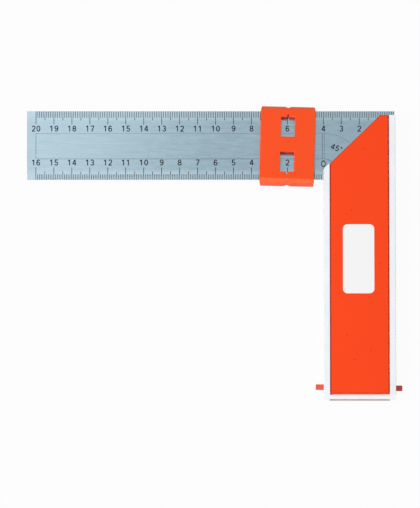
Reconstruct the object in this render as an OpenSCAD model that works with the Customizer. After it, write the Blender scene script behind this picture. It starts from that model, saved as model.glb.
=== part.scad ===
// Mitre square: a graduated steel blade riveted into an extruded aluminium stock, with plastic
// inlays, a sliding cursor on the blade and a support bar through the foot of the stock.
// Millimetres. X runs along the blade towards the outer face of the stock, Y along the stock
// towards its top, Z through its thickness. The origin is the inner corner on the rear face:
// the stock's inner face is X = 0, the blade's inner edge is Y = 0 and the rear rails are Z = 0.

/* [Stock] */
// Width of the stock, from its inner to its outer face
stock_w = 40; // [38:0.5:60]
// Thickness of the stock
stock_t = 12.8; // [11:0.1:20]
// Length of the stock below the blade's inner edge
stock_below = 125; // [80:1:250]
// Height of the blade's outer edge above the top of the stock
top_drop = 3.7; // [0.5:0.1:6]
// Height above the blade's inner edge at which the 45 degree face starts
mitre_start = 4.5; // [2:0.1:8]
// Width of each rail along the edges of the stock
rail_w = 3.5; // [2.5:0.1:5]
// Depth of the pocket between the rails, front and rear
pocket_d = 2.2; // [1.6:0.1:2.8]
// Chamfer on the long edges of the rails
edge_break = 0.2; // [0.1:0.05:0.5]

/* [Blade] */
// Length of the blade beyond the stock's inner face
blade_reach = 165; // [120:1:400]
// Width of the blade
blade_w = 39.4; // [34:0.1:42]
// Thickness of the blade
blade_t = 1; // [0.8:0.1:2]
// How far the blade's end stops short of the stock's outer face
blade_short = 0.4; // [0.1:0.1:2]
// Clearance between the blade and each side of its slot
blade_clear = 0.05; // [0.01:0.01:0.2]

/* [Rivets] */
// Diameter of a rivet's shank
rivet_d = 4; // [3:0.1:5]
// Diameter of a rivet's countersunk head
rivet_head_d = 5.8; // [5.2:0.1:7]
// Depth of a rivet's countersunk head
rivet_head_h = 1.1; // [0.6:0.1:1.6]
// Distance of the rivets from the side of the pocket
rivet_side = 6.5; // [5:0.1:9]
// Height of the lower rivets above the blade's inner edge
rivet_low = 7; // [5:0.1:10]
// Distance of the upper rivet below the top of the stock
rivet_drop = 8; // [6:0.1:12]
// Clearance all round a rivet
rivet_clear = 0.03; // [0.01:0.01:0.1]

/* [Inlays] */
// Thickness of an inlay
inlay_t = 2; // [1.4:0.1:2.2]
// Gap between an inlay and each rail
inlay_gap = 0.2; // [0.1:0.05:0.5]
// Distance of an inlay's slanted edge behind the 45 degree face
inlay_setback = 0.2; // [0.1:0.1:3]
// How far an inlay stops short of the foot of the stock
inlay_short = 0.6; // [0.2:0.1:3]
// Chamfer round an inlay's face
inlay_chamfer = 0.45; // [0.1:0.05:0.6]
// Reach of the snap bead along each side of an inlay
bead_reach = 0.6; // [0.4:0.1:0.9]
// Height of the snap bead
bead_h = 0.8; // [0.6:0.1:1]
// Thickness of the snap bead's tip
bead_tip = 0.2; // [0.1:0.05:0.4]
// Clearance between the snap bead and its groove
bead_clear = 0.06; // [0.02:0.01:0.1]

/* [Support bar] */
// How far the support bar stands out of one face when it is flush with the other
bar_stand = 8; // [4:0.1:12]
// Width of the support bar
bar_w = 3.05; // [2:0.05:6]
// Height of the support bar's centre above the foot of the stock
bar_up = 5.5; // [5:0.1:20]
// Angle at which the support bar lies in the play of its slot
bar_lean = 0.9; // [0:0.1:1.5]
// How far the support bar stands off centre towards the inner face
bar_shift = 0.5; // [0:0.1:2]
// Length of the stop lug in the middle of the support bar
lug_len = 6; // [4:0.5:10]
// Running clearance round the support bar
bar_clear = 0.08; // [0.02:0.01:0.1]

/* [Cursor] */
// Length of the cursor along the blade
cursor_len = 30.4; // [26:0.1:50]
// Thickness of the cursor
cursor_t = 9.4; // [7:0.1:12]
// Thickness of the cursor's walls beyond the blade's edges
cursor_wall = 1.6; // [1.4:0.1:4]
// Chamfer along the cursor's long front edges
cursor_chamfer = 2.1; // [0.5:0.1:2.5]
// Chamfer along the cursor's long rear edges
cursor_rear_chamfer = 0.4; // [0.2:0.1:2]
// How far each corner of the cursor is taken in along the blade
corner_in = 0.5; // [0.2:0.1:2]
// Height of each corner's taper across the blade
corner_h = 2.4; // [1:0.1:4]
// Angle at which the cursor leans in the play of its channel
cursor_lean = 1.4; // [0:0.1:2]
// How far the cursor stands below the middle of the blade, in the play of its channel
cursor_drop = 0.3; // [0:0.05:0.5]
// Distance of the cursor's index line from the stock's inner face
cursor_at = 20; // [20:0.5:100]
// Running clearance between the cursor and the blade's edges
cursor_clear = 0.1; // [0.02:0.01:0.3]
// Running clearance between the cursor and the blade's faces
face_clear = 0.08; // [0.02:0.01:0.2]
// Width of a sight window
window_w = 7.8; // [5:0.1:12]
// Height of a sight window
window_h = 11.5; // [8:0.1:12]
// Distance of each window's centre from the middle of the blade
window_off = 10.05; // [9.5:0.05:11]
// Width of the index mark cut into a window's outer edge
index_w = 1.1; // [0.6:0.1:3]
// Height of the index mark
index_h = 1.9; // [0.8:0.1:2.2]
// Width of the pencil notch in each edge of the cursor
notch_w = 3.6; // [2:0.1:6]
// Depth of the pencil notch
notch_d = 0.9; // [0.4:0.1:1]

/* [Cursor spring] */
// Length of the leaf spring
spring_len = 20; // [14:0.5:22]
// Width of the leaf spring
spring_w = 5; // [3:0.1:6]
// Thickness of the leaf spring
spring_t = 0.3; // [0.2:0.05:0.4]
// Bow of the leaf spring
spring_bow = 0.7; // [0.4:0.05:1]
// Clearance between the leaf spring and what it bears on
spring_seat = 0.03; // [0.01:0.01:0.05]
// Clearance between the leaf spring and the sides of its pocket
spring_room = 0.3; // [0.1:0.1:0.5]

/* [Hidden] */
$fn = 96;
// How far a cut runs past the faces that it opens
overrun = 1;
orange = "#fa4827";
steel = "#b4bfc6";
mitre_angle = 45;
mid_z = stock_t / 2;
stock_top = blade_w - top_drop;
stock_foot = -stock_below;
stock_len = stock_top - stock_foot;
web_t = stock_t - 2 * pocket_d;
pocket_l = rail_w;
pocket_r = stock_w - rail_w;
pocket_w = pocket_r - pocket_l;
bead_z = pocket_d - bead_h;
groove_reach = bead_reach - inlay_gap + bead_clear;
setback_along = inlay_setback / cos(mitre_angle);
inlay_face_z = pocket_d - inlay_t;
rivet_places = [
    [pocket_l + rivet_side, rivet_low],
    [pocket_r - rivet_side, rivet_low],
    [pocket_r - rivet_side, stock_top - rivet_drop]
];
// The support bar's faces lie level with the blade's, so that both rest on the work together.
bar_t = blade_t;
bar_y = stock_foot + bar_up;
bar_len = stock_w + bar_stand;
bar_travel = bar_stand / 2;
bar_slot_t = bar_t + 2 * bar_clear;
bar_slot_w = bar_w * cos(bar_lean) + (stock_w + 2 * bar_travel) * sin(bar_lean) + 2 * bar_clear;
lug_h = web_t / 2 - bar_t / 2 - bar_clear;
keeper_w = bar_slot_w - 2 * bar_clear;
keeper_gap = lug_len * cos(bar_lean) + bar_w * sin(bar_lean) + 2 * (bar_travel + bar_clear);
keeper_h = web_t / 2 - bar_t / 2 - bar_clear;
cursor_play = cursor_clear + cursor_drop;
channel_h = blade_w * cos(cursor_lean) + cursor_len * sin(cursor_lean) + 2 * cursor_play;
channel_t = blade_t + 2 * face_clear;
cursor_h = channel_h + 2 * cursor_wall;
spring_pocket_t = spring_bow + spring_t + 2 * spring_seat;
spring_r = (spring_len * spring_len / 4 + spring_bow * spring_bow) / (2 * spring_bow);

// The 45 degree edge and all that lies beyond it, moved back by a distance along X.
module mitre_waste(back) {
    polygon([
        [-overrun, mitre_start - back - overrun],
        [stock_top - mitre_start + back + overrun, stock_top + overrun],
        [-overrun, stock_top + overrun]
    ]);
}

// A closed outline in the X-Z plane, drawn out from the top of the stock towards its foot.
module along_stock(length) {
    translate([0, stock_top, 0])
        rotate([90, 0, 0])
            linear_extrude(length)
                children();
}

// The section of the extrusion: two rails with an undercut groove each at the foot of the pocket.
module stock_section() {
    rear_side = [
        [0, edge_break],
        [edge_break, 0],
        [pocket_l - edge_break, 0],
        [pocket_l, edge_break],
        [pocket_l, bead_z],
        [pocket_l - groove_reach, bead_z],
        [pocket_l - groove_reach, pocket_d],
        [pocket_r + groove_reach, pocket_d],
        [pocket_r + groove_reach, bead_z],
        [pocket_r, bead_z],
        [pocket_r, edge_break],
        [pocket_r + edge_break, 0],
        [stock_w - edge_break, 0],
        [stock_w, edge_break]
    ];
    front_side = [for (i = [len(rear_side) - 1 : -1 : 0]) [rear_side[i][0], stock_t - rear_side[i][1]]];
    polygon(concat(rear_side, front_side));
}

// A shape that stands on the rear face, copied to the front one.
module both_faces() {
    children();
    translate([0, 0, stock_t])
        mirror([0, 0, 1])
            children();
}

// A shank with a countersunk head at each face of the web.
module rivet_form(clear) {
    translate([0, 0, pocket_d])
        cylinder(d = rivet_d + 2 * clear, h = web_t);
    both_faces()
        translate([0, 0, pocket_d])
            cylinder(d1 = rivet_head_d + 2 * clear, d2 = rivet_d + 2 * clear, h = rivet_head_h);
}

// The hole for a rivet, open at both faces of the web.
module rivet_hole() {
    rivet_form(rivet_clear);
    both_faces()
        translate([0, 0, pocket_d - overrun])
            cylinder(d = rivet_head_d + 2 * rivet_clear, h = overrun);
}

module stock() {
    color("#e6e9ee")
        difference() {
            along_stock(stock_len)
                stock_section();
            // The 45 degree face
            translate([0, 0, -overrun])
                linear_extrude(stock_t + 2 * overrun)
                    mitre_waste(0);
            // The sawn slot for the blade
            translate([-overrun, -blade_clear, mid_z - blade_t / 2 - blade_clear])
                cube([stock_w + 2 * overrun, stock_top + blade_clear + overrun,
                      blade_t + 2 * blade_clear]);
            for (place = rivet_places)
                translate(place)
                    rivet_hole();
            // The slot through which the support bar passes
            translate([-overrun, bar_y - bar_slot_w / 2, mid_z - bar_slot_t / 2])
                cube([stock_w + 2 * overrun, bar_slot_w, bar_slot_t]);
            // The bar's groove, milled from the front pocket for the lug and its keepers
            translate([pocket_l, bar_y - bar_slot_w / 2, mid_z - bar_slot_t / 2])
                cube([pocket_w, bar_slot_w, bar_slot_t / 2 + web_t / 2 + overrun]);
        }
}

module blade() {
    color(steel)
        difference() {
            translate([-blade_reach, 0, mid_z - blade_t / 2])
                cube([blade_reach + stock_w - blade_short, blade_w, blade_t]);
            for (place = rivet_places)
                translate(place)
                    rivet_hole();
        }
}

module blade_rivets() {
    color("#9da3a8")
        for (place = rivet_places)
            translate(place)
                rivet_form(0);
}

// The section of the rear inlay: a chamfered face, and a snap bead along each side.
module inlay_section() {
    inlay_l = pocket_l + inlay_gap;
    inlay_r = pocket_r - inlay_gap;
    bead_low = bead_z + bead_clear;
    polygon([
        [inlay_l + inlay_chamfer, inlay_face_z],
        [inlay_r - inlay_chamfer, inlay_face_z],
        [inlay_r, inlay_face_z + inlay_chamfer],
        [inlay_r, bead_low],
        [inlay_r + bead_reach, bead_low],
        [inlay_r + bead_reach, bead_low + bead_tip],
        [inlay_r, pocket_d],
        [inlay_l, pocket_d],
        [inlay_l - bead_reach, bead_low + bead_tip],
        [inlay_l - bead_reach, bead_low],
        [inlay_l, bead_low],
        [inlay_l, inlay_face_z + inlay_chamfer]
    ]);
}

// What comes off to chamfer an end of the rear inlay that lies along +X, with the waste on +Y.
module inlay_end_waste() {
    rotate([90, 0, 90])
        linear_extrude(stock_w / cos(mitre_angle))
            polygon([
                [-inlay_chamfer - overrun, inlay_face_z - overrun],
                [overrun, inlay_face_z - overrun],
                [overrun, inlay_face_z + inlay_chamfer + overrun]
            ]);
}

module inlay() {
    difference() {
        along_stock(stock_len - inlay_short)
            inlay_section();
        translate([0, 0, -overrun])
            linear_extrude(stock_t + 2 * overrun)
                mitre_waste(setback_along);
        // The top, the slanted edge and the foot are chamfered as the sides are.
        translate([0, stock_top, 0])
            inlay_end_waste();
        translate([0, mitre_start - setback_along, 0])
            rotate([0, 0, mitre_angle])
                inlay_end_waste();
        translate([stock_w, stock_foot + inlay_short, 0])
            rotate([0, 0, 180])
                inlay_end_waste();
    }
}

module rear_inlay() {
    color(orange)
        inlay();
}

// The front inlay also carries two keepers that reach down into the bar's groove. They hold the
// bar level with the blade, and the lug stops against them.
module front_inlay() {
    keeper_len = (pocket_w - 2 * inlay_gap - keeper_gap) / 2;
    color(orange) {
        translate([0, 0, stock_t])
            mirror([0, 0, 1])
                inlay();
        for (keeper_x = [pocket_l + inlay_gap, pocket_r - inlay_gap - keeper_len])
            translate([keeper_x, bar_y - keeper_w / 2, stock_t - pocket_d - keeper_h])
                cube([keeper_len, keeper_w, keeper_h + inlay_t / 2]);
    }
}

module support_bar() {
    color(orange)
        translate([stock_w / 2 - bar_shift, bar_y, mid_z])
            rotate([0, 0, -bar_lean]) {
                translate([-bar_len / 2, -bar_w / 2, -bar_t / 2])
                    cube([bar_len, bar_w, bar_t]);
                translate([-lug_len / 2, -bar_w / 2, 0])
                    cube([lug_len, bar_w, bar_t / 2 + lug_h]);
            }
}

// Where the cursor stands on the blade, and how it leans.
module at_cursor() {
    translate([-cursor_at, blade_w / 2 - cursor_drop, mid_z])
        rotate([0, 0, -cursor_lean])
            children();
}

// The cursor seen from the end of the blade: a bar with chamfered long edges.
module cursor_end_outline() {
    y = cursor_h / 2;
    z = cursor_t / 2;
    polygon([
        [-y + cursor_rear_chamfer, -z],
        [y - cursor_rear_chamfer, -z],
        [y, -z + cursor_rear_chamfer],
        [y, z - cursor_chamfer],
        [y - cursor_chamfer, z],
        [-y + cursor_chamfer, z],
        [-y, z - cursor_chamfer],
        [-y, -z + cursor_rear_chamfer]
    ]);
}

// The cursor seen from the front: a rectangle with slightly tapered corners.
module cursor_face_outline() {
    x = cursor_len / 2;
    y = cursor_h / 2;
    polygon([
        [-x + corner_in, -y],
        [x - corner_in, -y],
        [x, -y + corner_h],
        [x, y - corner_h],
        [x - corner_in, y],
        [-x + corner_in, y],
        [-x, y - corner_h],
        [-x, -y + corner_h]
    ]);
}

// The upper sight window, with its index mark, and the pencil notch above it.
module cursor_cuts() {
    top = window_off + window_h / 2;
    polygon([
        [-window_w / 2, top - window_h],
        [window_w / 2, top - window_h],
        [window_w / 2, top],
        [index_w / 2, top],
        [0, top + index_h],
        [-index_w / 2, top],
        [-window_w / 2, top]
    ]);
    slope = notch_w / 2 / notch_d;
    polygon([
        [0, cursor_h / 2 - notch_d],
        [slope * (notch_d + overrun), cursor_h / 2 + overrun],
        [-slope * (notch_d + overrun), cursor_h / 2 + overrun]
    ]);
}

module cursor() {
    color("#ff5428")
        at_cursor()
            difference() {
                intersection() {
                    translate([-cursor_len / 2, 0, 0])
                        rotate([90, 0, 90])
                            linear_extrude(cursor_len)
                                cursor_end_outline();
                    translate([0, 0, -cursor_t / 2])
                        linear_extrude(cursor_t)
                            cursor_face_outline();
                }
                // The channel for the blade
                translate([-cursor_len / 2 - overrun, -channel_h / 2, -channel_t / 2])
                    cube([cursor_len + 2 * overrun, channel_h, channel_t]);
                // The pocket for the leaf spring
                translate([-spring_len / 2 - spring_room, -spring_w / 2 - spring_room, 0])
                    cube([spring_len + 2 * spring_room, spring_w + 2 * spring_room,
                          blade_t / 2 + spring_pocket_t]);
                translate([0, 0, -cursor_t / 2 - overrun])
                    linear_extrude(cursor_t + 2 * overrun) {
                        cursor_cuts();
                        mirror([0, 1])
                            cursor_cuts();
                    }
            }
}

// A leaf bent to an arc: its crown bears on the blade's front face and its ends on the cursor.
module cursor_spring() {
    crown_z = blade_t / 2 + spring_seat;
    color("#8f969c")
        at_cursor()
            translate([0, spring_w / 2, crown_z + spring_r + spring_t])
                rotate([90, 0, 0])
                    linear_extrude(spring_w)
                        intersection() {
                            difference() {
                                circle(r = spring_r + spring_t, $fn = 360);
                                circle(r = spring_r, $fn = 360);
                            }
                            translate([-spring_len / 2, -spring_r - spring_t - overrun])
                                square([spring_len, spring_r]);
                        }
}

stock();
blade();
blade_rivets();
front_inlay();
rear_inlay();
cursor();
cursor_spring();
support_bar();
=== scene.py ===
import math

import bmesh
import bpy
from mathutils import Matrix, Vector


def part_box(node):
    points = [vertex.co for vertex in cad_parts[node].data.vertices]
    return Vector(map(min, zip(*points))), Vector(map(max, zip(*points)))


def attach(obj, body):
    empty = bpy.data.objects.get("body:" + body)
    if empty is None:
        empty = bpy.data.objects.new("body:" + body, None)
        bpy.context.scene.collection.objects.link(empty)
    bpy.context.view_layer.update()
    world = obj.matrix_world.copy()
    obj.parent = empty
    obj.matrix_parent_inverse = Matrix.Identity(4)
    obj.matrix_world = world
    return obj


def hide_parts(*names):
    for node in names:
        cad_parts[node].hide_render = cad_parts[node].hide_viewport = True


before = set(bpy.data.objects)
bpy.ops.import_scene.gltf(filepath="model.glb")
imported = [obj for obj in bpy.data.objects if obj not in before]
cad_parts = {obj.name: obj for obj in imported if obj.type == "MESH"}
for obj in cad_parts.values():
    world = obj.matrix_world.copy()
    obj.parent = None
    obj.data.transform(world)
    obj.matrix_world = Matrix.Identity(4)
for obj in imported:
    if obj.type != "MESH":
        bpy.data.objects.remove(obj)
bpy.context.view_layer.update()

# The camera stands far off on the foot's side of the square, with a long lens. It looks down
# 15 degrees off the upright, so the foot of the stock and the cursor's lower edge show.
MM = 0.001
CAMERA_TILT = math.radians(15)
CAMERA_AWAY = 8.0
CAMERA_SEES_TO = 50.0
# The sensor's width, in millimetres, spans the picture's longer side, which is its height.
SENSOR_WIDE = 36.0
PHOTO_HIGH_PX = 508
PX_PER_MM = 1.8
AIM = Vector((-63.1, -42.9, 6.9)) * MM

camera_data = bpy.data.cameras.new("camera")
camera_data.sensor_width = SENSOR_WIDE
camera_data.lens = SENSOR_WIDE * CAMERA_AWAY / (PHOTO_HIGH_PX / PX_PER_MM * MM)
camera_data.clip_end = CAMERA_SEES_TO
camera = bpy.data.objects.new("camera", camera_data)
bpy.context.scene.collection.objects.link(camera)
camera.location = AIM + CAMERA_AWAY * Vector((0, -math.sin(CAMERA_TILT), math.cos(CAMERA_TILT)))
camera.rotation_euler = (CAMERA_TILT, 0, 0)
bpy.context.scene.camera = camera
bpy.context.scene.view_settings.view_transform = "Standard"

# The table is matt white card. It keeps the soft shadow of the square, made fainter for the eye
# and for what the metal mirrors, as a product picture has it. In the slit under the foot, between
# the rear rails, it keeps the whole shadow.
TABLE_SIZE = 8.0
# The slit reaches this far to each side of the rear inlay's end.
FOOT_SLIT = 0.9 * MM
SHADOW_LEFT = 0.05


def linear(hex_colour):
    """An sRGB hex colour as the linear red, green, blue and alpha that a socket takes."""
    parts = [int(hex_colour[i:i + 2], 16) / 255 for i in (1, 3, 5)]
    return [c / 12.92 if c <= 0.04045 else ((c + 0.055) / 1.055) ** 2.4 for c in parts] + [1.0]


def add(tree, kind, settings=None, links=None):
    """A new node. Settings are its properties or its inputs' values, links are what feeds it.

    Inputs go by name, or by number where names repeat. In a Mix node, input 0 is the share of
    the second value, the two numbers are 2 and 3, and the two colours are 6 and 7.
    """
    node = tree.nodes.new(kind)
    for key, value in (settings or {}).items():
        if isinstance(key, str) and hasattr(node, key):
            setattr(node, key, value)
        else:
            node.inputs[key].default_value = value
    for key, source in (links or {}).items():
        tree.links.new(source, node.inputs[key])
    return node


def new_material(name):
    """An empty material and its node tree."""
    material = bpy.data.materials.new(name)
    material.use_nodes = True
    material.node_tree.nodes.clear()
    return material, material.node_tree


def new_object(name, bm):
    """A mesh object out of a bmesh, which is freed."""
    mesh = bpy.data.meshes.new(name)
    bm.to_mesh(mesh)
    bm.free()
    made = bpy.data.objects.new(name, mesh)
    bpy.context.scene.collection.objects.link(made)
    return made


card, tree = new_material("matt_white_card")
rays = add(tree, "ShaderNodeLightPath")
paper = add(tree, "ShaderNodeBsdfDiffuse", {"Color": linear("#c8c8c8")})
glow = add(tree, "ShaderNodeEmission", {"Color": linear("#ffffff"), "Strength": 1.0})
seen = add(tree, "ShaderNodeMath", {"operation": "MAXIMUM"},
           {0: rays.outputs["Is Camera Ray"], 1: rays.outputs["Is Glossy Ray"]})
share = add(tree, "ShaderNodeMath", {"operation": "MULTIPLY", 1: 1 - SHADOW_LEFT},
            {0: seen.outputs[0]})
place = add(tree, "ShaderNodeTexCoord")
parts = add(tree, "ShaderNodeSeparateXYZ", None, {0: place.outputs["Object"]})
rear_low, rear_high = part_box("rear_inlay")
across = add(tree, "ShaderNodeMath", {"operation": "COMPARE", 1: (rear_low.x + rear_high.x) / 2,
                                      2: (rear_high.x - rear_low.x) / 2},
             {0: parts.outputs["X"]})
along = add(tree, "ShaderNodeMath", {"operation": "COMPARE", 1: rear_low.y, 2: FOOT_SLIT},
            {0: parts.outputs["Y"]})
covered = add(tree, "ShaderNodeMath", {"operation": "MULTIPLY"},
              {0: across.outputs[0], 1: along.outputs[0]})
open_share = add(tree, "ShaderNodeMath", {"operation": "SUBTRACT", "use_clamp": True},
                 {0: share.outputs[0], 1: covered.outputs[0]})
look = add(tree, "ShaderNodeMixShader", None,
           {0: open_share.outputs[0], 1: paper.outputs[0], 2: glow.outputs[0]})
add(tree, "ShaderNodeOutputMaterial", None, {"Surface": look.outputs[0]})

bm = bmesh.new()
bmesh.ops.create_grid(bm, x_segments=1, y_segments=1, size=TABLE_SIZE / 2)
table = new_object("table", bm)
table.data.materials.append(card)

# The room has a pale ceiling and greyer walls, a little brighter on the left. A softbox stands on
# the left, a second hangs over the blade's free end, so the steel is brightest there, and a long
# low one in front lifts the faces that look towards the camera.
ROOM_WALLS = 0.3
ROOM_CEILING_MORE = 0.74
ROOM_LEFT_MORE = 0.1
# The place on the table, off the blade's free end, that the blade's softbox faces.
OFF_FREE_END = Vector((-0.3, 0.1, 0))

world = bpy.data.worlds.new("pale_room")
bpy.context.scene.world = world
world.use_nodes = True
tree = world.node_tree
tree.nodes.clear()
where = add(tree, "ShaderNodeTexCoord")
parts = add(tree, "ShaderNodeSeparateXYZ", None, {0: where.outputs["Generated"]})
overhead = add(tree, "ShaderNodeMath", {"operation": "MULTIPLY"},
               {0: parts.outputs["Z"], 1: parts.outputs["Z"]})
ceiling = add(tree, "ShaderNodeMath", {"operation": "MULTIPLY"},
              {0: overhead.outputs[0], 1: overhead.outputs[0]})
upward = add(tree, "ShaderNodeMath",
             {"operation": "MULTIPLY_ADD", 1: ROOM_CEILING_MORE, 2: ROOM_WALLS},
             {0: ceiling.outputs[0]})
level = add(tree, "ShaderNodeMath", {"operation": "MULTIPLY_ADD", 1: -ROOM_LEFT_MORE},
            {0: parts.outputs["X"], 2: upward.outputs[0]})
room = add(tree, "ShaderNodeBackground", {"Color": linear("#f0f6fb")},
           {"Strength": level.outputs[0]})
add(tree, "ShaderNodeOutputWorld", None, {"Surface": room.outputs[0]})


def soft_lamp(name, place, aim, wide, high, power, colour):
    """A rectangular softbox that faces a place. Sizes are in metres and the power in watts."""
    data = bpy.data.lights.new(name, "AREA")
    data.shape = "RECTANGLE"
    data.size = wide
    data.size_y = high
    data.energy = power
    data.color = linear(colour)[:3]
    lamp = bpy.data.objects.new(name, data)
    bpy.context.scene.collection.objects.link(lamp)
    lamp.location = place
    lamp.rotation_euler = (aim - Vector(place)).to_track_quat("-Z", "Y").to_euler()
    lamp.visible_camera = False


soft_lamp("key_lamp", place=(-1.5, -0.55, 1.7), aim=AIM, wide=0.8, high=0.8, power=26.0,
          colour="#fffefb")
soft_lamp("blade_lamp", place=(-0.42, 0.15, 0.45), aim=OFF_FREE_END, wide=0.6, high=0.6,
          power=0.72, colour="#fffaf6")
soft_lamp("front_lamp", place=(-0.05, -1.3, 0.18), aim=AIM, wide=1.6, high=0.2, power=7.0,
          colour="#fffaf5")

# The stock is a bar of aluminium, extruded with two rails and a web, sawn to length and to 45
# degrees, then etched and clear anodised. The etch scatters the light, so the eye sees a matt,
# almost white metal, with faint lines along its length and saw marks across its ends.
STOCK_EDGE = 0.1 * MM
EDGE_FACES = 2
SAME_POINT = 0.0005 * MM
SAME_PLANE = math.radians(0.2)
SHARP_EDGE = math.radians(8)
# Real die lines are some hundredths of a millimetre wide and the etch is finer still. Both are
# drawn coarser, so that they show.
DIE_LINE = 0.7 * MM
DIE_LINE_LONG = 70 * MM
ETCH_GRAIN = 0.5 * MM
STAIN = 9 * MM
SAW_LINE = 0.5 * MM
SAW_LINE_LONG = 25 * MM
# A face is a sawn one where it looks at least this much along the stock.
SAWN_LEAST = 0.4
LINES_IN_TONE = 0.5
ETCH_IN_RELIEF = 0.4
# Nearly all values of a noise pattern lie between these two.
NOISE_LOW = 0.3
NOISE_HIGH = 0.7


def finished_copy(node_name, edge_round):
    """A copy of a solid as whole faces, with its edges rounded as a tool or a mould leaves them."""
    bm = bmesh.new()
    bm.from_mesh(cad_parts[node_name].data)
    bmesh.ops.remove_doubles(bm, verts=bm.verts, dist=SAME_POINT)
    bmesh.ops.dissolve_limit(bm, angle_limit=SAME_PLANE, verts=bm.verts, edges=bm.edges)
    sharp = [edge for edge in bm.edges if edge.calc_face_angle(0) > SHARP_EDGE]
    rounded = bmesh.ops.bevel(bm, geom=sharp, offset=edge_round, offset_type="OFFSET",
                              segments=EDGE_FACES, profile=0.5, affect="EDGES",
                              clamp_overlap=True, material=-1)
    for face in rounded["faces"]:
        face.smooth = True
    return new_object(node_name + "_finish", bm)


aluminium, tree = new_material("etched_clear_anodised_aluminium")
place = add(tree, "ShaderNodeTexCoord")
along = add(tree, "ShaderNodeMapping", {"Scale": (1 / DIE_LINE, 1 / DIE_LINE_LONG, 1 / DIE_LINE)},
            {"Vector": place.outputs["Object"]})
die_lines = add(tree, "ShaderNodeTexNoise", {"Scale": 1.0, "Detail": 3.0},
                {"Vector": along.outputs[0]})
across = add(tree, "ShaderNodeMapping",
             {"Scale": (1 / SAW_LINE_LONG, 1 / SAW_LINE_LONG, 1 / SAW_LINE)},
             {"Vector": place.outputs["Object"]})
saw_lines = add(tree, "ShaderNodeTexNoise", {"Scale": 1.0, "Detail": 2.0},
                {"Vector": across.outputs[0]})
facing = add(tree, "ShaderNodeSeparateXYZ", None, {0: place.outputs["Normal"]})
towards_end = add(tree, "ShaderNodeMath", {"operation": "ABSOLUTE"}, {0: facing.outputs["Y"]})
sawn = add(tree, "ShaderNodeMath", {"operation": "GREATER_THAN", 1: SAWN_LEAST},
           {0: towards_end.outputs[0]})
tool_lines = add(tree, "ShaderNodeMix", {"data_type": "FLOAT"},
                 {0: sawn.outputs[0], 2: die_lines.outputs[0], 3: saw_lines.outputs[0]})
etch = add(tree, "ShaderNodeTexNoise", {"Scale": 1 / ETCH_GRAIN, "Detail": 2.0},
           {"Vector": place.outputs["Object"]})
stain = add(tree, "ShaderNodeTexNoise", {"Scale": 1 / STAIN, "Detail": 3.0},
            {"Vector": place.outputs["Object"]})
tone = add(tree, "ShaderNodeMath", {"operation": "MULTIPLY_ADD", 1: LINES_IN_TONE},
           {0: tool_lines.outputs[0], 2: stain.outputs[0]})
tone_range = add(tree, "ShaderNodeMapRange", {"From Min": NOISE_LOW * (1 + LINES_IN_TONE),
                                              "From Max": NOISE_HIGH * (1 + LINES_IN_TONE)},
                 {"Value": tone.outputs[0]})
colour = add(tree, "ShaderNodeMix",
             {"data_type": "RGBA", 6: linear("#f2f4f8"), 7: linear("#fbfcff")},
             {0: tone_range.outputs[0]})
rough = add(tree, "ShaderNodeMapRange", {"From Min": NOISE_LOW, "From Max": NOISE_HIGH,
                                         "To Min": 0.42, "To Max": 0.55},
            {"Value": etch.outputs[0]})
relief = add(tree, "ShaderNodeMath", {"operation": "MULTIPLY_ADD", 1: ETCH_IN_RELIEF},
             {0: etch.outputs[0], 2: tool_lines.outputs[0]})
bump = add(tree, "ShaderNodeBump", {"Strength": 0.3, "Distance": 0.02 * MM},
           {"Height": relief.outputs[0]})
metal = add(tree, "ShaderNodeBsdfPrincipled", {"Metallic": 0.35},
            {"Base Color": colour.outputs[2], "Roughness": rough.outputs[0],
             "Normal": bump.outputs[0]})
add(tree, "ShaderNodeOutputMaterial", None, {"Surface": metal.outputs[0]})

stock = finished_copy("stock", STOCK_EDGE)
stock.data.materials.append(aluminium)
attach(stock, "square")
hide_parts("stock")

# The blade is a strip of stainless steel, ground flat and then brushed along its length, let
# into the saw cut in the stock. The eye sees a cool grey with a fine lengthwise grain, soft
# clouds in it, and a few bright rubs where the cursor runs.
BLADE_EDGE = 0.05 * MM
# The real brush lines are about a twentieth of a millimetre wide and are drawn wider, to show.
BRUSH_WIDE = 0.45 * MM
BRUSH_LONG = 16 * MM
BRUSH_IN_TONE = 0.8
CLOUD_WIDE = 1.5 * MM
CLOUD_LONG = 6 * MM
RUB_WIDE = 1.1 * MM
RUB_LONG = 90 * MM
# A paler strip along each long edge is partly the polish of the cursor's sleeve and partly a
# painted highlight. It is full to this far from the blade's edge and then fades.
POLISH_SHEEN_FULL = 3.0 * MM
POLISH_SHEEN_FADES = 6.0 * MM
# Polish and painted highlight are least at the free end and grow to most this far along.
POLISH_SHEEN_GROWS = 75 * MM
POLISH_SHEEN_LEAST = 0.22
POLISH_SHEEN_MOST = 0.88

steel, tree = new_material("brushed_stainless_steel")
place = add(tree, "ShaderNodeTexCoord")
along = add(tree, "ShaderNodeMapping",
            {"Scale": (1 / BRUSH_LONG, 1 / BRUSH_WIDE, 1 / BRUSH_WIDE)},
            {"Vector": place.outputs["Object"]})
brush = add(tree, "ShaderNodeTexNoise", {"Scale": 1.0, "Detail": 3.0, "Roughness": 0.6},
            {"Vector": along.outputs[0]})
drift = add(tree, "ShaderNodeMapping",
            {"Scale": (1 / CLOUD_LONG, 1 / CLOUD_WIDE, 1 / CLOUD_WIDE)},
            {"Vector": place.outputs["Object"]})
cloud = add(tree, "ShaderNodeTexNoise", {"Scale": 1.0, "Detail": 3.0},
            {"Vector": drift.outputs[0]})
run = add(tree, "ShaderNodeMapping", {"Scale": (1 / RUB_LONG, 1 / RUB_WIDE, 1 / RUB_WIDE)},
          {"Vector": place.outputs["Object"]})
rub = add(tree, "ShaderNodeTexNoise", {"Scale": 1.0, "Detail": 1.0}, {"Vector": run.outputs[0]})
rubbed = add(tree, "ShaderNodeMapRange", {"From Min": 0.66, "From Max": 0.74,
                                          "To Min": 0.0, "To Max": 0.35},
             {"Value": rub.outputs[0]})
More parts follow.
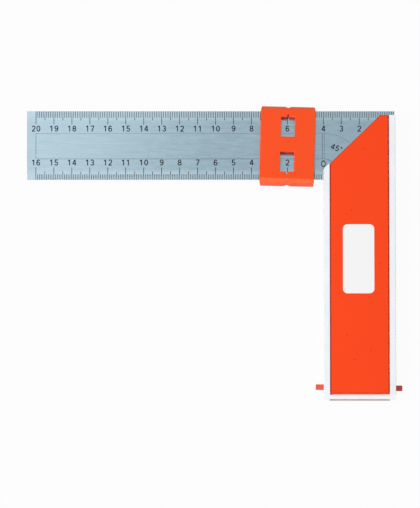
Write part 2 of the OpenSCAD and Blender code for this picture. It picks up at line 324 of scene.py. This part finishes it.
tone = add(tree, "ShaderNodeMath", {"operation": "MULTIPLY_ADD", 1: BRUSH_IN_TONE},
           {0: brush.outputs[0], 2: cloud.outputs[0]})
tone_range = add(tree, "ShaderNodeMapRange", {"From Min": 0.6, "From Max": 1.2},
                 {"Value": tone.outputs[0]})
bright = add(tree, "ShaderNodeMath", {"operation": "ADD", "use_clamp": True},
             {0: tone_range.outputs[0], 1: rubbed.outputs[0]})
colour = add(tree, "ShaderNodeMix",
             {"data_type": "RGBA", 6: linear("#99aeb7"), 7: linear("#a7bcc5")},
             {0: bright.outputs[0]})
rough = add(tree, "ShaderNodeMapRange", {"From Min": NOISE_LOW, "From Max": NOISE_HIGH,
                                         "To Min": 0.2, "To Max": 0.26},
            {"Value": cloud.outputs[0]})
bump = add(tree, "ShaderNodeBump", {"Strength": 0.25, "Distance": 0.01 * MM},
           {"Height": brush.outputs[0]})
blade_low, blade_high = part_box("blade")
parts = add(tree, "ShaderNodeSeparateXYZ", None, {0: place.outputs["Object"]})
off_centre = add(tree, "ShaderNodeMath",
                 {"operation": "SUBTRACT", 1: (blade_low.y + blade_high.y) / 2},
                 {0: parts.outputs["Y"]})
from_centre = add(tree, "ShaderNodeMath", {"operation": "ABSOLUTE"}, {0: off_centre.outputs[0]})
half_blade = (blade_high.y - blade_low.y) / 2
edge_strip_sheen = add(tree, "ShaderNodeMapRange",
               {"From Min": half_blade - POLISH_SHEEN_FADES, "From Max": half_blade - POLISH_SHEEN_FULL,
                "To Min": 0.0, "To Max": 1.0},
               {"Value": from_centre.outputs[0]})
sheen_along = add(tree, "ShaderNodeMapRange",
                {"From Min": blade_low.x, "From Max": blade_low.x + POLISH_SHEEN_GROWS,
                 "To Min": POLISH_SHEEN_LEAST, "To Max": POLISH_SHEEN_MOST},
                {"Value": parts.outputs["X"]})
polish_sheen = add(tree, "ShaderNodeMath", {"operation": "MULTIPLY"},
             {0: edge_strip_sheen.outputs[0], 1: sheen_along.outputs[0]})
# The strip's paler colour is a painted highlight laid over real polish.
polish_sheen_colour = add(tree, "ShaderNodeMix", {"data_type": "RGBA", 7: linear("#bccfd6")},
            {0: polish_sheen.outputs[0], 6: colour.outputs[2]})
metal = add(tree, "ShaderNodeBsdfPrincipled", {"Metallic": 1.0},
            {"Base Color": polish_sheen_colour.outputs[2], "Roughness": rough.outputs[0],
             "Normal": bump.outputs[0]})
add(tree, "ShaderNodeOutputMaterial", None, {"Surface": metal.outputs[0]})

blade = finished_copy("blade", BLADE_EDGE)
blade.data.materials.append(steel)
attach(blade, "square")
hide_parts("blade")

# Three countersunk steel rivets clamp the blade in the stock. They are set with a press before
# the inlays go in and stay hidden, so they are left plain, with the faint dimples of the press.
DIMPLE = 0.8 * MM

rivet_steel, tree = new_material("pressed_plain_steel")
place = add(tree, "ShaderNodeTexCoord")
dimple = add(tree, "ShaderNodeTexVoronoi", {"Scale": 1 / DIMPLE},
             {"Vector": place.outputs["Object"]})
colour = add(tree, "ShaderNodeMix",
             {"data_type": "RGBA", 6: linear("#8d9297"), 7: linear("#a6abb0")},
             {0: dimple.outputs["Distance"]})
rough = add(tree, "ShaderNodeMapRange", {"To Min": 0.35, "To Max": 0.5},
            {"Value": dimple.outputs["Distance"]})
bump = add(tree, "ShaderNodeBump", {"Strength": 0.4, "Distance": 0.05 * MM},
           {"Height": dimple.outputs["Distance"]})
metal = add(tree, "ShaderNodeBsdfPrincipled", {"Metallic": 1.0},
            {"Base Color": colour.outputs[2], "Roughness": rough.outputs[0],
             "Normal": bump.outputs[0]})
add(tree, "ShaderNodeOutputMaterial", None, {"Surface": metal.outputs[0]})

for rivet_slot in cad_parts["blade_rivets"].material_slots:
    rivet_slot.material = rivet_steel

# The graduation is etched into the blade and blackened. Both long edges carry millimetres: the
# outer scale counts from the stock's outer face, the inner one from its inner face, and two
# arcs with a 45 mark the mitre. The rear face has the same marks, turned to be read from behind.
CM = 10 * MM
ETCH_HIGH = 0.012 * MM
ETCH_SUNK = 0.004 * MM
ETCH_MOTTLE = 0.2 * MM
OUTER_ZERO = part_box("stock")[1].x
INNER_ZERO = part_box("stock")[0].x
OUTER_NUMBERS = range(2, 21)
INNER_NUMBERS = range(1, 17)
SCALE_END = INNER_ZERO - 16 * CM
TICK_WIDE = 0.32 * MM
TICK_CM_WIDE = 0.34 * MM
TICK_MM = 3.4 * MM
TICK_HALF = 4.9 * MM
TICK_CM = 7.3 * MM
# The inner ends of the ticks of both scales lie this much lower than their lengths would put them.
PRINT_SHIFT = 0.35 * MM
NUMERAL_HIGH = 3.35 * MM
NUMERAL_PITCH = 2.7 * MM
NUMERAL_STROKE = 0.54 * MM
OUTER_NUMERALS_Y = 29.4 * MM
INNER_NUMERALS_Y = 9.8 * MM
# Thin lines frame the bare middle of the blade, and turn into the arcs of the mitre mark.
UPPER_LINE_Y = 26.6 * MM
UPPER_LINE_WIDE = 0.09 * MM
LOWER_LINE_Y = 11.9 * MM
LOWER_LINE_WIDE = 0.15 * MM
LINE_LAP = 0.1 * MM
END_LINE_WIDE = 0.2 * MM
# The place and the width of the two square lines at the stock's inner face.
SQUARE_LINES = ((-0.6 * MM, 0.22 * MM), (0.5 * MM, 0.16 * MM))
MITRE_CENTRE_X = 0.45 * MM
MITRE_CENTRE_Y = 5.7 * MM
MITRE_SWEEP = math.radians(47)
ARC_STEPS = 48
MITRE_NUMERALS = Vector((7.75, 18.05, 0)) * MM
MITRE_NUMERAL_HIGH = 3.25 * MM
MITRE_TURN = math.radians(-22)
ZERO_WIDE = 2.55 * MM
ZERO_HIGH = 3.95 * MM
ZERO_STROKE = 0.42 * MM
ZERO_Y = 9.1 * MM
ZERO_TICK_LOW = 5.8 * MM
ZERO_TICK_HIGH = 6.8 * MM
# Degrees between two points of a numeral's curve.
CURVE_STEP = 15


def arc(x, y, across, up, start, end):
    """Points along part of an ellipse, from one angle to another, in degrees."""
    steps = max(2, round(abs(end - start) / CURVE_STEP))
    turns = [math.radians(start + (end - start) * i / steps) for i in range(steps + 1)]
    return [(x + across * math.cos(turn), y + up * math.sin(turn)) for turn in turns]


# The pen strokes of each numeral, in shares of its height. All numerals are about as wide.
NUMERAL_WIDE_SHARE = 0.6
STROKE_SHARES = {
    "0": [arc(0.3, 0.5, 0.24, 0.44, 0, 360)],
    "1": [[(0.34, 1), (0.34, 0)], [(0.32, 0.93), (0.08, 0.76)]],
    "2": [arc(0.3, 0.69, 0.24, 0.25, 165, -40) + [(0.09, 0.09)], [(0.02, 0.06), (0.58, 0.06)]],
    "3": [arc(0.29, 0.715, 0.21, 0.225, 155, -90), arc(0.29, 0.275, 0.25, 0.215, 90, -155)],
    "4": [[(0.42, 0.98), (0.06, 0.32)], [(0.02, 0.27), (0.62, 0.27)], [(0.45, 1), (0.45, 0)]],
    "5": [[(0.12, 0.94), (0.54, 0.94)], [(0.14, 0.97), (0.09, 0.48)],
          arc(0.29, 0.32, 0.25, 0.26, 140, -155)],
    "6": [arc(0.3, 0.31, 0.24, 0.25, 0, 360),
          arc(0.31, 0.47, 0.25, 0.47, 38, 180) + [(0.065, 0.3)]],
    "7": [[(0.02, 0.94), (0.6, 0.94)], [(0.535, 0.9), (0.22, 0)]],
    "8": [arc(0.3, 0.72, 0.2, 0.22, 0, 360), arc(0.3, 0.285, 0.24, 0.225, 0, 360)],
    "°": [arc(0.16, 0.84, 0.07, 0.07, 0, 360)],
}
# A nine is a six turned half round.
STROKE_SHARES["9"] = [[(NUMERAL_WIDE_SHARE - x, 1 - y) for x, y in stroke]
                      for stroke in STROKE_SHARES["6"]]
# Points of a pen stroke that are closer than this share are one.
STROKE_JOINT_SHARE = 0.0001


def numeral_mesh(sign):
    """A numeral at height 1, centred: a pen drawn along its strokes, pressed flat to height 1."""
    curve = bpy.data.curves.new("numeral", "CURVE")
    curve.dimensions = "3D"
    curve.bevel_depth = NUMERAL_STROKE / NUMERAL_HIGH / 2
    curve.bevel_resolution = 0
    curve.use_fill_caps = True
    for stroke in STROKE_SHARES[sign]:
        closed = Vector(stroke[0]) == Vector(stroke[-1])
        points = stroke[:-1] if closed else stroke
        spline = curve.splines.new("POLY")
        spline.use_cyclic_u = closed
        spline.points.add(len(points) - 1)
        for point, (x, y) in zip(spline.points, points):
            point.co = (x - NUMERAL_WIDE_SHARE / 2, y - 0.5, 0, 1)
    carrier = bpy.data.objects.new("numeral", curve)
    mesh = bpy.data.meshes.new_from_object(carrier)
    bpy.data.objects.remove(carrier)
    bm = bmesh.new()
    bm.from_mesh(mesh)
    bmesh.ops.remove_doubles(bm, verts=bm.verts, dist=STROKE_JOINT_SHARE)
    flat = Matrix.Diagonal((1, 1, NUMERAL_HIGH / NUMERAL_STROKE, 1))
    bmesh.ops.transform(bm, verts=bm.verts, matrix=flat)
    bm.to_mesh(mesh)
    bm.free()
    return mesh


NUMERAL_MESHES = {sign: numeral_mesh(sign) for sign in STROKE_SHARES}


def add_numerals(bm, words, centre, high, turn):
    """Numerals side by side, centred on a place."""
    for i, sign in enumerate(words):
        first = len(bm.verts)
        bm.from_mesh(NUMERAL_MESHES[sign])
        bm.verts.ensure_lookup_table()
        step = NUMERAL_PITCH * high / NUMERAL_HIGH * (i - (len(words) - 1) / 2)
        lay = (Matrix.Translation(centre) @ Matrix.Rotation(turn, 4, "Z")
               @ Matrix.Translation((step, 0, (ETCH_HIGH - ETCH_SUNK) / 2))
               @ Matrix.Diagonal((high, high, ETCH_HIGH + ETCH_SUNK, 1)))
        bmesh.ops.transform(bm, verts=bm.verts[first:], matrix=lay)


def add_bar(bm, left, right, low, high):
    """A flat bar of etching between two places across and two places up."""
    made = bmesh.ops.create_cube(bm, size=1)
    size = Matrix.Diagonal((right - left, high - low, ETCH_HIGH + ETCH_SUNK, 1))
    middle = Vector(((left + right) / 2, (low + high) / 2, (ETCH_HIGH - ETCH_SUNK) / 2))
    bmesh.ops.transform(bm, verts=made["verts"], matrix=Matrix.Translation(middle) @ size)


def add_arc(bm, centre, radius, start, sweep, wide):
    """A flat arc of etching: a small upright outline spun about the arc's centre."""
    corners = [(radius - wide / 2, -ETCH_SUNK), (radius + wide / 2, -ETCH_SUNK),
               (radius + wide / 2, ETCH_HIGH), (radius - wide / 2, ETCH_HIGH)]
    turn = Matrix.Rotation(start, 4, "Z")
    verts = [bm.verts.new(centre + turn @ Vector((r, 0, z))) for r, z in corners]
    outline = [bm.edges.new((verts[i - 1], verts[i])) for i in range(len(verts))]
    full = math.isclose(abs(sweep), math.tau)
    spun = bmesh.ops.spin(bm, geom=verts + outline, cent=centre, axis=(0, 0, 1), angle=sweep,
                          steps=ARC_STEPS, use_merge=full)
    if not full:
        far_end = [part for part in spun["geom_last"] if isinstance(part, bmesh.types.BMEdge)]
        bmesh.ops.edgeloop_fill(bm, edges=outline)
        bmesh.ops.edgeloop_fill(bm, edges=far_end)


def list_by_corners(bm):
    """Put edges and faces in a fixed order, because a spin lists its own in a new one each run."""
    bm.verts.index_update()
    count = len(bm.verts)

    def lowest_corners(part):
        low, middle, *others = sorted(vert.index for vert in part.verts)
        return (low * count + middle) * count + (others[0] if others else 0)

    bm.edges.sort(key=lowest_corners)
    bm.faces.sort(key=lowest_corners)


# Blackened etching is flat and nearly black, with a faint mottle.
ink, tree = new_material("blackened_etching")
place = add(tree, "ShaderNodeTexCoord")
grain = add(tree, "ShaderNodeTexNoise", {"Scale": 1 / ETCH_MOTTLE, "Detail": 3.0},
            {"Vector": place.outputs["Object"]})
colour = add(tree, "ShaderNodeMix",
             {"data_type": "RGBA", 6: linear("#0b1218"), 7: linear("#1c2731")},
             {0: grain.outputs[0]})
bump = add(tree, "ShaderNodeBump", {"Strength": 0.3, "Distance": 0.01 * MM},
           {"Height": grain.outputs[0]})
black = add(tree, "ShaderNodeBsdfPrincipled", {"Roughness": 0.8, "Specular IOR Level": 0.25},
            {"Base Color": colour.outputs[2], "Normal": bump.outputs[0]})
add(tree, "ShaderNodeOutputMaterial", None, {"Surface": black.outputs[0]})

for name, side in (("front_graduation", 1), ("rear_graduation", -1)):
    bm = bmesh.new()
    # The ticks. The blade ends before the outer zero, and a numeral stands at the inner one.
    for zero, edge, inward in ((OUTER_ZERO, blade_high.y, -1), (INNER_ZERO, blade_low.y, 1)):
        for count in range(round((zero - SCALE_END) / MM) + 1):
            x = zero - count * MM
            if x > blade_high.x or (zero == INNER_ZERO and count == 0):
                continue
            long = TICK_CM if count % 10 == 0 else TICK_HALF if count % 5 == 0 else TICK_MM
            half = (TICK_CM_WIDE if count % 10 == 0 else TICK_WIDE) / 2
            ends = sorted((edge, edge + inward * long - PRINT_SHIFT))
            add_bar(bm, side * x - half, side * x + half, *ends)
    # The numerals
    for zero, numbers, y in ((OUTER_ZERO, OUTER_NUMBERS, OUTER_NUMERALS_Y),
                             (INNER_ZERO, INNER_NUMBERS, INNER_NUMERALS_Y)):
        for number in numbers:
            middle = Vector((side * (zero - number * CM), y, 0))
            add_numerals(bm, str(number), middle, NUMERAL_HIGH, 0)
    # The lines along the blade, with the arcs that they turn into, and the lines across it
    left, right = sorted((side * SCALE_END, side * (MITRE_CENTRE_X + LINE_LAP)))
    for y, wide in ((UPPER_LINE_Y, UPPER_LINE_WIDE), (LOWER_LINE_Y, LOWER_LINE_WIDE)):
        add_bar(bm, left, right, y - wide / 2, y + wide / 2)
        centre = Vector((side * MITRE_CENTRE_X, MITRE_CENTRE_Y, 0))
        add_arc(bm, centre, y - MITRE_CENTRE_Y, math.pi / 2, -side * MITRE_SWEEP, wide)
    for x, wide in ((SCALE_END, END_LINE_WIDE), *SQUARE_LINES):
        add_bar(bm, side * x - wide / 2, side * x + wide / 2, LOWER_LINE_Y, UPPER_LINE_Y)
    # The inner scale's zero, a ring drawn out to an oval, with a short tick under it
    first = len(bm.verts)
    add_arc(bm, Vector((0, 0, 0)), (ZERO_WIDE - ZERO_STROKE) / 2, 0, math.tau, ZERO_STROKE)
    bm.verts.ensure_lookup_table()
    oval = Matrix.Translation((0, ZERO_Y, 0)) @ Matrix.Diagonal((1, ZERO_HIGH / ZERO_WIDE, 1, 1))
    bmesh.ops.transform(bm, verts=bm.verts[first:], matrix=oval)
    add_bar(bm, -TICK_CM_WIDE / 2, TICK_CM_WIDE / 2, ZERO_TICK_LOW, ZERO_TICK_HIGH)
    # The 45 of the mitre mark
    mitre_place = Vector((side * MITRE_NUMERALS.x, MITRE_NUMERALS.y, 0))
    add_numerals(bm, "45°", mitre_place, MITRE_NUMERAL_HIGH, side * MITRE_TURN)
    list_by_corners(bm)
    bmesh.ops.recalc_face_normals(bm, faces=bm.faces)
    lay = Matrix.Translation((0, 0, blade_high.z))
    if side < 0:
        lay = Matrix.Translation((0, 0, blade_low.z)) @ Matrix.Rotation(math.pi, 4, "Y")
    bmesh.ops.transform(bm, verts=bm.verts, matrix=lay)
    marks = new_object(name, bm)
    marks.data.materials.append(ink)
    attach(marks, "square")

# Two orange ABS panels snap between the rails, one on each face. They come out of a mould with
# a fine spark-eroded texture, so they shine softly. Their chamfers are darkened with painted shade,
# and a few dark specks of dust lie on them.
INLAY_EDGE = 0.12 * MM
# The real mould grain is about 0.1 mm and is drawn coarser, to show.
MOULD_GRAIN = 0.4 * MM
FLOW = 22 * MM
SCUFF = 0.8 * MM
SCUFF_LONG = 25 * MM
SCUFF_TURN = math.radians(70)
# The edge colour lies on the slanting faces, the chamfers and rounded edges, whose normals rise
# about 45 degrees. It is painted shade where it is darker and a painted highlight where paler.
EDGE_SLANT = math.sin(math.radians(45))
EDGE_SLANT_SPREAD = 0.25
EDGE_LEAST = 0.45
EDGE_MOST = 0.75
SPECK = 0.5 * MM
SPECK_SPACING = 26 * MM


def orange_plastic(name, dark, light, edge, specks):
    """Satin orange ABS: mould grain, slow changes of tone, painted edges, a few specks.

    The three colours are hex values, and specks is how strongly the specks show, from 0 to 1. The
    edge colour is painted shade where it is darker and a painted highlight where it is paler.
    """
    material, tree = new_material(name)
    place = add(tree, "ShaderNodeTexCoord")
    grain = add(tree, "ShaderNodeTexNoise", {"Scale": 1 / MOULD_GRAIN, "Detail": 2.0},
                {"Vector": place.outputs["Object"]})
    flow = add(tree, "ShaderNodeTexNoise", {"Scale": 1 / FLOW, "Detail": 3.0},
               {"Vector": place.outputs["Object"]})
    turned = add(tree, "ShaderNodeMapping",
                 {"Rotation": (0, 0, SCUFF_TURN), "Scale": (1 / SCUFF_LONG, 1 / SCUFF, 1 / SCUFF)},
                 {"Vector": place.outputs["Object"]})
    scuff = add(tree, "ShaderNodeTexNoise", {"Scale": 1.0, "Detail": 2.0},
                {"Vector": turned.outputs[0]})
    scuffed = add(tree, "ShaderNodeMapRange", {"From Min": 0.68, "From Max": 0.76,
                                               "To Min": 0.0, "To Max": 0.15},
                  {"Value": scuff.outputs[0]})
    colour = add(tree, "ShaderNodeMix",
                 {"data_type": "RGBA", 6: linear(dark), 7: linear(light)},
                 {0: flow.outputs[0]})
    facing = add(tree, "ShaderNodeSeparateXYZ", None, {0: place.outputs["Normal"]})
    upward = add(tree, "ShaderNodeMath", {"operation": "ABSOLUTE"}, {0: facing.outputs["Z"]})
    slanting = add(tree, "ShaderNodeMath",
                   {"operation": "COMPARE", 1: EDGE_SLANT, 2: EDGE_SLANT_SPREAD},
                   {0: upward.outputs[0]})
    painted_edge_mottle = add(tree, "ShaderNodeMapRange", {"From Min": NOISE_LOW, "From Max": NOISE_HIGH,
                                            "To Min": EDGE_LEAST, "To Max": EDGE_MOST},
               {"Value": grain.outputs[0]})
    # The edge colour's share on slanting faces: painted shade or a painted highlight, by the colour
    # given.
    painted_edge_share = add(tree, "ShaderNodeMath", {"operation": "MULTIPLY"},
                     {0: slanting.outputs[0], 1: painted_edge_mottle.outputs[0]})
    painted_edge_colour = add(tree, "ShaderNodeMix", {"data_type": "RGBA", 7: linear(edge)},
                {0: painted_edge_share.outputs[0], 6: colour.outputs[2]})
    cell = add(tree, "ShaderNodeTexVoronoi",
               {"voronoi_dimensions": "2D", "Scale": 1 / SPECK_SPACING},
               {"Vector": place.outputs["Object"]})
    speck = add(tree, "ShaderNodeMath", {"operation": "LESS_THAN", 1: SPECK / SPECK_SPACING},
                {0: cell.outputs["Distance"]})
    speck_share = add(tree, "ShaderNodeMath", {"operation": "MULTIPLY", 1: specks},
                      {0: speck.outputs[0]})
    specked = add(tree, "ShaderNodeMix", {"data_type": "RGBA", 7: linear("#b52a10")},
                  {0: speck_share.outputs[0], 6: painted_edge_colour.outputs[2]})
    rough = add(tree, "ShaderNodeMapRange", {"From Min": NOISE_LOW, "From Max": NOISE_HIGH,
                                             "To Min": 0.42, "To Max": 0.55},
                {"Value": grain.outputs[0]})
    worn = add(tree, "ShaderNodeMath", {"operation": "SUBTRACT"},
               {0: rough.outputs[0], 1: scuffed.outputs[0]})
    bump = add(tree, "ShaderNodeBump", {"Strength": 0.25, "Distance": 0.02 * MM},
               {"Height": grain.outputs[0]})
    plastic = add(tree, "ShaderNodeBsdfPrincipled", {"Specular IOR Level": 0.2},
                  {"Base Color": specked.outputs[2], "Roughness": worn.outputs[0],
                   "Normal": bump.outputs[0]})
    add(tree, "ShaderNodeOutputMaterial", None, {"Surface": plastic.outputs[0]})
    return material


# The inlays' dark edge colour is painted shade on their chamfers.
inlay_plastic = orange_plastic("satin_orange_abs_inlay", dark="#fe410b", light="#ff4709",
                               edge="#962009", specks=0.4)
for name in ("front_inlay", "rear_inlay"):
    inlay = finished_copy(name, INLAY_EDGE)
    inlay.data.materials.append(inlay_plastic)
    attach(inlay, "square")
    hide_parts(name)

# A white pad with round corners is printed on the front panel. The ink lies on the texture of
# the mould, so it is matt and a little uneven.
PAD_LEFT = 10.7 * MM
PAD_RIGHT = 28.1 * MM
PAD_LOW = -67.0 * MM
PAD_HIGH = -27.3 * MM
PAD_CORNER = 2.6 * MM
PAD_CORNER_FACES = 10
PAD_THICK = 0.04 * MM
INK_GRAIN = 0.5 * MM

white, tree = new_material("white_pad_print")
place = add(tree, "ShaderNodeTexCoord")
grain = add(tree, "ShaderNodeTexNoise", {"Scale": 1 / INK_GRAIN, "Detail": 3.0},
            {"Vector": place.outputs["Object"]})
colour = add(tree, "ShaderNodeMix",
             {"data_type": "RGBA", 6: linear("#f4f1f0"), 7: linear("#fdfbfa")},
             {0: grain.outputs[0]})
rough = add(tree, "ShaderNodeMapRange", {"To Min": 0.45, "To Max": 0.6},
            {"Value": grain.outputs[0]})
bump = add(tree, "ShaderNodeBump", {"Strength": 0.25, "Distance": 0.02 * MM},
           {"Height": grain.outputs[0]})
paint = add(tree, "ShaderNodeBsdfPrincipled", None,
            {"Base Color": colour.outputs[2], "Roughness": rough.outputs[0],
             "Normal": bump.outputs[0]})
add(tree, "ShaderNodeOutputMaterial", None, {"Surface": paint.outputs[0]})

bm = bmesh.new()
bmesh.ops.create_cube(bm, size=1)
inlay_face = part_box("front_inlay")[1].z
size = Matrix.Diagonal((PAD_RIGHT - PAD_LEFT, PAD_HIGH - PAD_LOW, PAD_THICK, 1))
middle = Vector(((PAD_LEFT + PAD_RIGHT) / 2, (PAD_LOW + PAD_HIGH) / 2, inlay_face))
bmesh.ops.transform(bm, verts=bm.verts, matrix=Matrix.Translation(middle) @ size)
upright = [edge for edge in bm.edges
           if abs(edge.verts[0].co.z - edge.verts[1].co.z) > PAD_THICK / 2]
bmesh.ops.bevel(bm, geom=upright, offset=PAD_CORNER, offset_type="OFFSET",
                segments=PAD_CORNER_FACES, profile=0.5, affect="EDGES", material=-1)
pad = new_object("white_pad", bm)
pad.data.materials.append(white)
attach(pad, "square")

# The cursor is one moulding of orange ABS, a flat sleeve that slides along the blade. It has two
# sight windows a side with a scribing point each, and notches in its edges for a pencil. Its
# rounded edges are painted paler, a painted highlight.
CURSOR_EDGE = 0.3 * MM

# The cursor's pale edge colour is a painted highlight on its rounded edges.
cursor_plastic = orange_plastic("satin_orange_abs_cursor", dark="#fb4b14", light="#fe521b",
                                edge="#ff6c3a", specks=0.0)
cursor = finished_copy("cursor", CURSOR_EDGE)
cursor.data.materials.append(cursor_plastic)
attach(cursor, "cursor")
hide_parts("cursor")

# A bowed leaf of hardened spring steel lies in the cursor and presses on the blade. It was cut
# from rolled strip, so it keeps a fine rolled grain along its length, and a straw-grey temper.
ROLLED_LINE = 0.15 * MM
ROLLED_LINE_LONG = 6 * MM

spring_steel, tree = new_material("hardened_spring_strip")
place = add(tree, "ShaderNodeTexCoord")
along = add(tree, "ShaderNodeMapping",
            {"Scale": (1 / ROLLED_LINE_LONG, 1 / ROLLED_LINE, 1 / ROLLED_LINE)},
            {"Vector": place.outputs["Object"]})
rolled = add(tree, "ShaderNodeTexNoise", {"Scale": 1.0, "Detail": 2.0},
             {"Vector": along.outputs[0]})
colour = add(tree, "ShaderNodeMix",
             {"data_type": "RGBA", 6: linear("#767c83"), 7: linear("#989a98")},
             {0: rolled.outputs[0]})
rough = add(tree, "ShaderNodeMapRange", {"To Min": 0.25, "To Max": 0.4},
            {"Value": rolled.outputs[0]})
bump = add(tree, "ShaderNodeBump", {"Strength": 0.3, "Distance": 0.01 * MM},
           {"Height": rolled.outputs[0]})
metal = add(tree, "ShaderNodeBsdfPrincipled", {"Metallic": 1.0},
            {"Base Color": colour.outputs[2], "Roughness": rough.outputs[0],
             "Normal": bump.outputs[0]})
add(tree, "ShaderNodeOutputMaterial", None, {"Surface": metal.outputs[0]})

for spring_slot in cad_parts["cursor_spring"].material_slots:
    spring_slot.material = spring_steel

# The support bar is a strip of the same ABS that slides through the foot of the stock. It is as
# thick as the blade and lies level with it, so the square rests flat on the work.
BAR_EDGE = 0.12 * MM

# The bar's darker edge colour is painted shade on its chamfers.
bar_plastic = orange_plastic("satin_orange_abs_bar", dark="#da5039", light="#e65c44",
                             edge="#c24a34", specks=0.0)
bar = finished_copy("support_bar", BAR_EDGE)
bar.data.materials.append(bar_plastic)
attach(bar, "support_bar")
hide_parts("support_bar")
